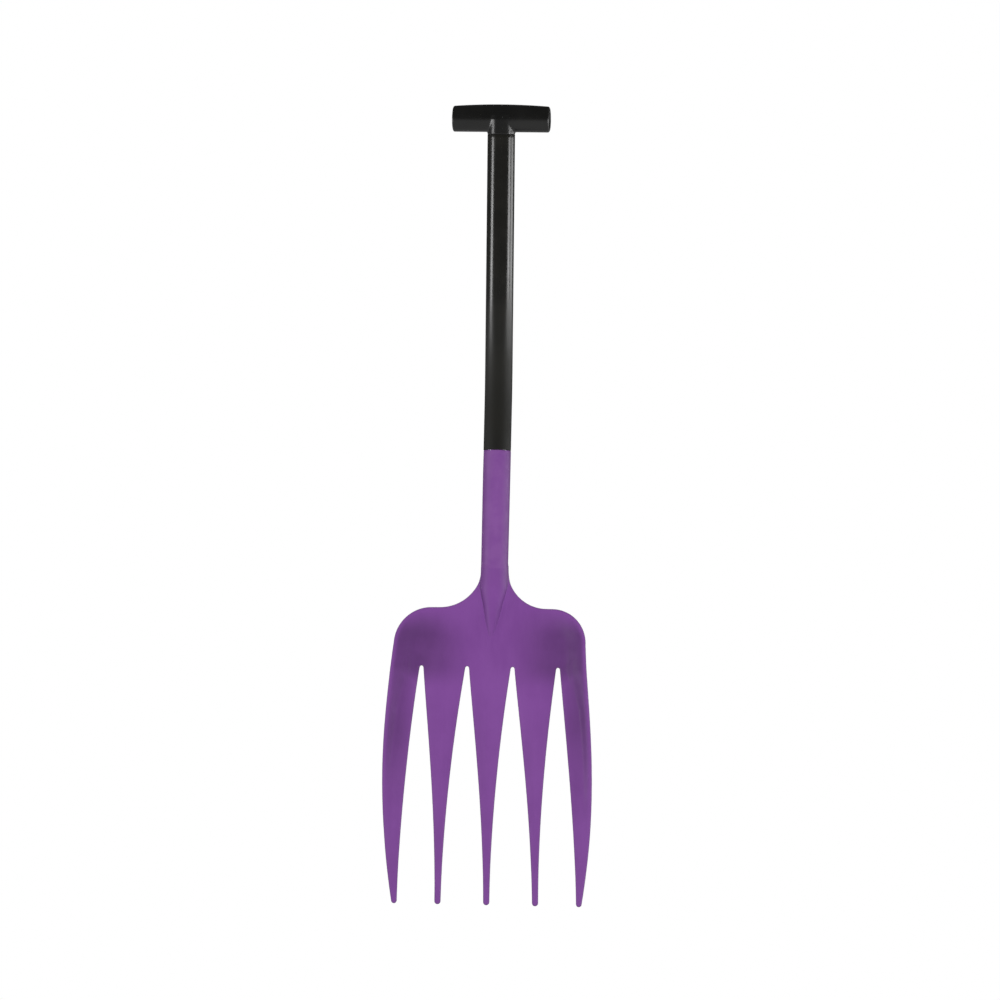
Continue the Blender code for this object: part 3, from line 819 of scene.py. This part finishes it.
def black_grip():
    """Moulded plastic with a fine parting seam down its middle, worn at the bar's ends."""
    n = Nodes("black_grip")
    cloud = n.noise(30.0, 4.0)
    color = n.mix(n.spread(cloud, 0.3, 0.7), GRIP_BLACK, GRIP_FADED)
    worn = n.math("MULTIPLY", n.attribute("edge"), n.spread(n.noise(90.0, 3.0), 0.4, 0.7))
    color = n.mix(n.math("MULTIPLY", worn, 0.4), color, GRIP_WORN)
    rough = n.spread(n.noise(60.0, 3.0), 0.25, 0.75, 0.24, 0.32)
    seam = n.spread(n.math("ABSOLUTE", n.axis("Y"), 0.0), 0.0001, 0.0004, 1.0, 0.0)
    n.bump([(n.noise(1100.0, 2.0), 0.06, 0.0001), (seam, 0.35, 0.00012)])
    return n.finish(color, rough, IOR=POLISHED_IOR, Specular_IOR_Level=0.5)


def black_cap():
    n = Nodes("black_cap")
    cloud = n.spread(n.noise(150.0, 3.0), 0.3, 0.7)
    color = n.mix(cloud, (0.006, 0.006, 0.006), (0.013, 0.013, 0.012))
    rough = n.spread(n.noise(300.0, 3.0), 0.3, 0.7, 0.42, 0.58)
    n.bump([(n.noise(1300.0, 2.0), 0.25, 0.00015)])
    return n.finish(color, rough, IOR=1.50)


def brushed_aluminium():
    n = Nodes("aluminium_tube")
    grain = n.noise(900.0, 3.0, 0.6, n.stretched((1.0, 1.0, 0.02)))
    color = n.mix(n.spread(grain, 0.3, 0.7), (0.56, 0.57, 0.58), (0.68, 0.69, 0.70))
    rough = n.spread(n.noise(50.0, 4.0), 0.3, 0.7, 0.28, 0.42)
    n.bump([(grain, 0.15, 0.0001)])
    return n.finish(color, rough, Metallic=1.0)


def beech():
    n = Nodes("beech_plug")
    grain = n.noise(300.0, 4.0, 0.6, n.stretched((1.0, 1.0, 0.05)))
    color = n.mix(n.spread(grain, 0.35, 0.7), (0.40, 0.26, 0.14), (0.55, 0.38, 0.23))
    rough = n.spread(n.noise(80.0, 3.0), 0.3, 0.7, 0.50, 0.66)
    n.bump([(grain, 0.3, 0.0003)])
    return n.finish(color, rough)


def zinc():
    n = Nodes("zinc_screw")
    cloud = n.noise(600.0, 3.0)
    color = n.mix(n.spread(cloud, 0.3, 0.7), (0.42, 0.43, 0.44), (0.60, 0.61, 0.62))
    rough = n.spread(n.noise(900.0, 3.0), 0.3, 0.7, 0.24, 0.40)
    n.bump([(n.noise(2500.0, 2.0), 0.15, 0.00005)])
    return n.finish(color, rough, Metallic=1.0)


# ---------------------------------------------------------------- pieces

def keep_piece(item, material, slot, *nodes):
    """Gives a piece its material, and puts it in the place of its CAD nodes."""
    item.data.materials.append(material)
    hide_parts(*nodes)
    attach(item, BODY)
    return item


def mark(item, name, share):
    """Stores a share from 0 to 1 at each of the mesh's points."""
    points = np.zeros(len(item.data.vertices) * 3)
    item.data.vertices.foreach_get("co", points)
    value = share(*points.reshape(-1, 3).T)
    layer = item.data.attributes.new(name, "FLOAT", "POINT")
    layer.data.foreach_set("value", value.astype(np.float32))


def dish_painted_shade(x, y, z):
    """Share of painted shade: in the shoulders' hollows, down the outer tines' fronts, a little on the
    neck.
    """
    aside = np.abs(x)
    pan = smooth_step(*PAINTED_SHADE_PAN_X, aside) * smooth_step(*PAINTED_SHADE_PAN_Z, z)
    outer = PAINTED_SHADE_TINE_SHARE * smooth_step(*PAINTED_SHADE_TINE_X, aside) * smooth_step(*PAINTED_SHADE_TINE_Z, z)
    inside = smooth_step(*PAINTED_SHADE_IN_FROM_EDGE, edge_distance(x, z))
    below_rim = smooth_step(*PAINTED_SHADE_BELOW_SHOULDER_Z, z) * inside
    facing = y < front_surface(x, z) + 0.5 * SHEET
    # Painted shade, lighter, over the neck.
    neck_shade = PAINTED_SHADE_NECK_SHARE * smooth_step(*PAINTED_SHADE_NECK_Z, z)
    return np.maximum(np.maximum(pan, outer) * below_rim * facing, neck_shade)


def make_head():
    head = sculpt("fork_head_moulded", head_field, HEAD_LOW, HEAD_HIGH, HEAD_CELL)
    mark(head, "edge", lambda x, y, z: smooth_step(*WORN_HEAD_EDGE, OUTLINE(x, z)))
    # Mask of the painted shade in the dish's hollows and on the neck.
    mark(head, "painted_shade", dish_painted_shade)
    return keep_piece(head, purple_plastic(), "purple_plastic", "fork_head")


def make_grip():
    grip = sculpt("t_grip_moulded", grip_field, GRIP_LOW, GRIP_HIGH, GRIP_CELL)
    start, full = (BAR_HALF - inset for inset in WORN_BAR_END)
    mark(grip, "edge", lambda x, y, z: smooth_step(start, full, np.abs(x)))
    return keep_piece(grip, black_grip(), "black_grip", "t_grip")


def make_sleeve():
    """Thin tube over the core, both its ends slightly rounded."""
    top, low = STEM_END + GAP, SOCKET_MOUTH - GAP
    inner = TUBE_RADIUS + GAP
    soft, mid = SOFT_EDGE, 0.3 * SOFT_EDGE
    lengths = np.linspace(top + soft, low - soft, 100)
    outer = [(length, SHAFT_RADIUS) for length in lengths]
    bore = [(length, inner) for length in lengths[::-1]]
    lower_end = [(low - mid, SHAFT_RADIUS - mid), (low, SHAFT_RADIUS - soft), (low, inner)]
    upper_end = [(top, inner), (top, SHAFT_RADIUS - soft), (top + mid, SHAFT_RADIUS - mid)]
    sleeve = shaft_lathe("shaft_sleeve_tube", outer + lower_end + bore + upper_end)
    return keep_piece(sleeve, black_sleeve(), "black_sleeve", "shaft_sleeve")


def make_cap(side, name, material):
    """Push-in end cap: softly dished face with a ring groove, hollow behind."""
    dish = [(0.0, -0.0009), (0.0030, -0.00075), (0.0060, -0.0004), (0.0070, -0.0002)]
    groove = [(0.0072, -0.0006), (0.0078, -0.0006), (0.0080, -0.0001)]
    rim = [(CAP_RADIUS - 0.0009, 0.0), (CAP_RADIUS - 0.0003, -0.0002), (CAP_RADIUS, -0.0008),
           (CAP_RADIUS, -CAP_DEPTH + 0.0004), (CAP_RADIUS - 0.0004, -CAP_DEPTH)]
    inner = CAP_RADIUS - CAP_WALL
    hollow = [(inner, -CAP_DEPTH), (inner, -CAP_FLOOR - 0.0003),
              (inner - 0.0006, -CAP_FLOOR), (0.0, -CAP_FLOOR)]
    profile = dish + groove + rim + hollow
    spot = Matrix.Translation((side * (BAR_HALF - CAP_RECESS), 0.0, BAR_RADIUS))
    cap = turned(name + "_turned", profile, spot @ Matrix.Rotation(side * math.pi / 2, 4, "Y"))
    return keep_piece(cap, material, "black_cap", name)


def make_screw(name, length, material):
    """Cross-recessed screw, its axis square to the shaft's back."""
    reach = SCREW_HEAD_RADIUS + 0.0001
    screw = sculpt(name + "_cross", screw_field, (-reach, -reach, -SCREW_REACH),
                   (reach, reach, SCREW_HEAD_HEIGHT), SCREW_CELL)
    out = shaft_back(length)
    seat = shaft_point(length) + out * (SHAFT_RADIUS + GAP)
    turn = out.to_track_quat("Z", "Y").to_matrix().to_4x4()
    screw.data.transform(Matrix.Translation(seat) @ turn)
    return keep_piece(screw, material, "zinc_screw", name)


def paint_node(name, material):
    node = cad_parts[name]
    for slot in node.material_slots:
        slot.material = material


# ---------------------------------------------------------------- studio

FLOOR_DROP = 0.060
FLOOR_RADIUS = 14.0
SWEEP_RADIUS = 2.0
WALL_HEIGHT = 12.0
FLOOR_GLOW = 0.40
WALL_GLOW = 0.07
VIEW_AZIMUTH = math.radians(8.0)
VIEW_ELEVATION = math.radians(2.0)
VIEW_ROLL = 0.0106
VIEW_DISTANCE = 12.0
VIEW_WIDTH = 1.36
AIM_HEIGHT = -0.500
AIM_RIGHT = 0.0053
LIGHT_DISTANCE = 5.0
STRIP_MIDDLE_Z = -0.75
STRIP_HEIGHT = 1.75


def view_axes():
    """Right, up and towards-the-camera directions of the picture's view."""
    toward = Vector((math.sin(VIEW_AZIMUTH) * math.cos(VIEW_ELEVATION),
                     -math.cos(VIEW_AZIMUTH) * math.cos(VIEW_ELEVATION), math.sin(VIEW_ELEVATION)))
    level = Vector((math.cos(VIEW_AZIMUTH), math.sin(VIEW_AZIMUTH), 0.0))
    right = (level + VIEW_ROLL * toward.cross(level)).normalized()
    return right, toward.cross(right), toward


def make_camera():
    right, up, toward = view_axes()
    aim = Vector((0.0, float(axis_depth(AIM_HEIGHT)), AIM_HEIGHT)) + right * AIM_RIGHT
    data = bpy.data.cameras.new("camera")
    data.lens = data.sensor_width * VIEW_DISTANCE / VIEW_WIDTH
    data.clip_end = 100.0
    item = bpy.data.objects.new("camera", data)
    turn = Matrix((right, up, toward)).transposed().to_4x4()
    item.matrix_world = Matrix.Translation(aim + toward * VIEW_DISTANCE) @ turn
    bpy.context.scene.collection.objects.link(item)
    bpy.context.scene.camera = item


def stage_material(name, glow):
    """Looks white to the camera, and sheds a soft even light on the object."""
    material = bpy.data.materials.new(name)
    material.use_nodes = True
    tree = material.node_tree
    tree.nodes.remove(tree.nodes["Principled BSDF"])
    seen = tree.nodes.new("ShaderNodeEmission")
    shed = tree.nodes.new("ShaderNodeEmission")
    shed.inputs["Strength"].default_value = glow
    path = tree.nodes.new("ShaderNodeLightPath")
    mix = tree.nodes.new("ShaderNodeMixShader")
    tree.links.new(path.outputs["Is Camera Ray"], mix.inputs["Fac"])
    tree.links.new(shed.outputs[0], mix.inputs[1])
    tree.links.new(seen.outputs[0], mix.inputs[2])
    tree.links.new(mix.outputs[0], tree.nodes["Material Output"].inputs["Surface"])
    return material


def make_stage():
    """Round white floor that sweeps up into a wall."""
    floor = CAD_BOX[0][2] - FLOOR_DROP
    bend = [(SWEEP_RADIUS * math.sin(a), SWEEP_RADIUS * (1.0 - math.cos(a)))
            for a in np.linspace(0.0, math.pi / 2, 9)]
    profile = [(FLOOR_RADIUS + out, up) for out, up in bend]
    profile.append((FLOOR_RADIUS + SWEEP_RADIUS, WALL_HEIGHT))
    bm = bmesh.new()
    angles = np.linspace(0.0, 2.0 * math.pi, 65)[:-1]
    rings = [[bm.verts.new((r * math.cos(a), r * math.sin(a), floor + h)) for a in angles]
             for r, h in profile]
    bm.faces.new(rings[0])
    for lower, upper in zip(rings, rings[1:]):
        for i in range(len(angles)):
            j = (i + 1) % len(angles)
            bm.faces.new((lower[i], lower[j], upper[j], upper[i])).material_index = 1
    mesh = bpy.data.meshes.new("studio_sweep")
    bm.to_mesh(mesh)
    bm.free()
    mesh.materials.append(stage_material("studio_floor", FLOOR_GLOW))
    mesh.materials.append(stage_material("studio_wall", WALL_GLOW))
    add_object("studio_sweep", mesh)


def area_light(name, degrees, height, size, watts):
    """Upright panel at an angle from the view, to the right if positive, facing the shaft."""
    angle = math.radians(degrees)
    right, up, toward = view_axes()
    flat = Vector((toward.x, toward.y, 0.0)).normalized()
    level = Vector((right.x, right.y, 0.0)).normalized()
    place = (flat * math.cos(angle) + level * math.sin(angle)) * LIGHT_DISTANCE
    place.z = height
    data = bpy.data.lights.new(name, "AREA")
    data.shape = "RECTANGLE"
    data.size, data.size_y = size
    data.energy = watts
    item = bpy.data.objects.new(name, data)
    bpy.context.scene.collection.objects.link(item)
    aim_light(item, place, height)
    return item


def aim_light(item, place, target_z):
    """Turns a light at a place towards a height on the upright axis."""
    turn = (Vector((0.0, 0.0, target_z)) - place).to_track_quat("-Z", "Y")
    item.matrix_world = Matrix.Translation(place) @ turn.to_matrix().to_4x4()


def strip_light(name, degrees, width, watts):
    """Tall panel whose reflection draws a bright line down the shaft."""
    area_light(name, degrees, STRIP_MIDDLE_Z, (width, STRIP_HEIGHT), watts)


def fill_light(name, degrees, height, size, watts):
    """Panel that lights the object without showing in its gloss."""
    item = area_light(name, degrees, height, size, watts)
    aim_light(item, item.matrix_world.translation.copy(), AIM_HEIGHT)
    item.visible_glossy = False


def make_lights():
    strip_light("strip_left", -75.0, 1.50, 66.0)
    strip_light("strip_right", 76.0, 1.60, 58.0)
    strip_light("strip_right_rear", 108.0, 2.70, 50.0)
    fill_light("front_fill", 2.0, 1.4, (1.6, 1.6), 236.0)
    fill_light("back_fill", 205.0, 0.6, (3.0, 2.5), 190.0)
    world = bpy.data.worlds.new("studio_air")
    world.use_nodes = True
    world.node_tree.nodes["Background"].inputs["Color"].default_value = (1.0, 1.0, 1.0, 1.0)
    world.node_tree.nodes["Background"].inputs["Strength"].default_value = WALL_GLOW
    bpy.context.scene.world = world
    bpy.context.scene.view_settings.view_transform = "Standard"


make_head()
make_grip()
make_sleeve()
CAP_MATERIAL = black_cap()
make_cap(-1, "grip_cap_left", CAP_MATERIAL)
make_cap(1, "grip_cap_right", CAP_MATERIAL)
ZINC = zinc()
make_screw("grip_screw", GRIP_SCREW_AT, ZINC)
make_screw("head_screw_upper", HEAD_SCREWS_AT[0], ZINC)
make_screw("head_screw_lower", HEAD_SCREWS_AT[1], ZINC)
paint_node("core_tube", brushed_aluminium())
paint_node("tube_plug", beech())
make_stage()
make_lights()
make_camera()
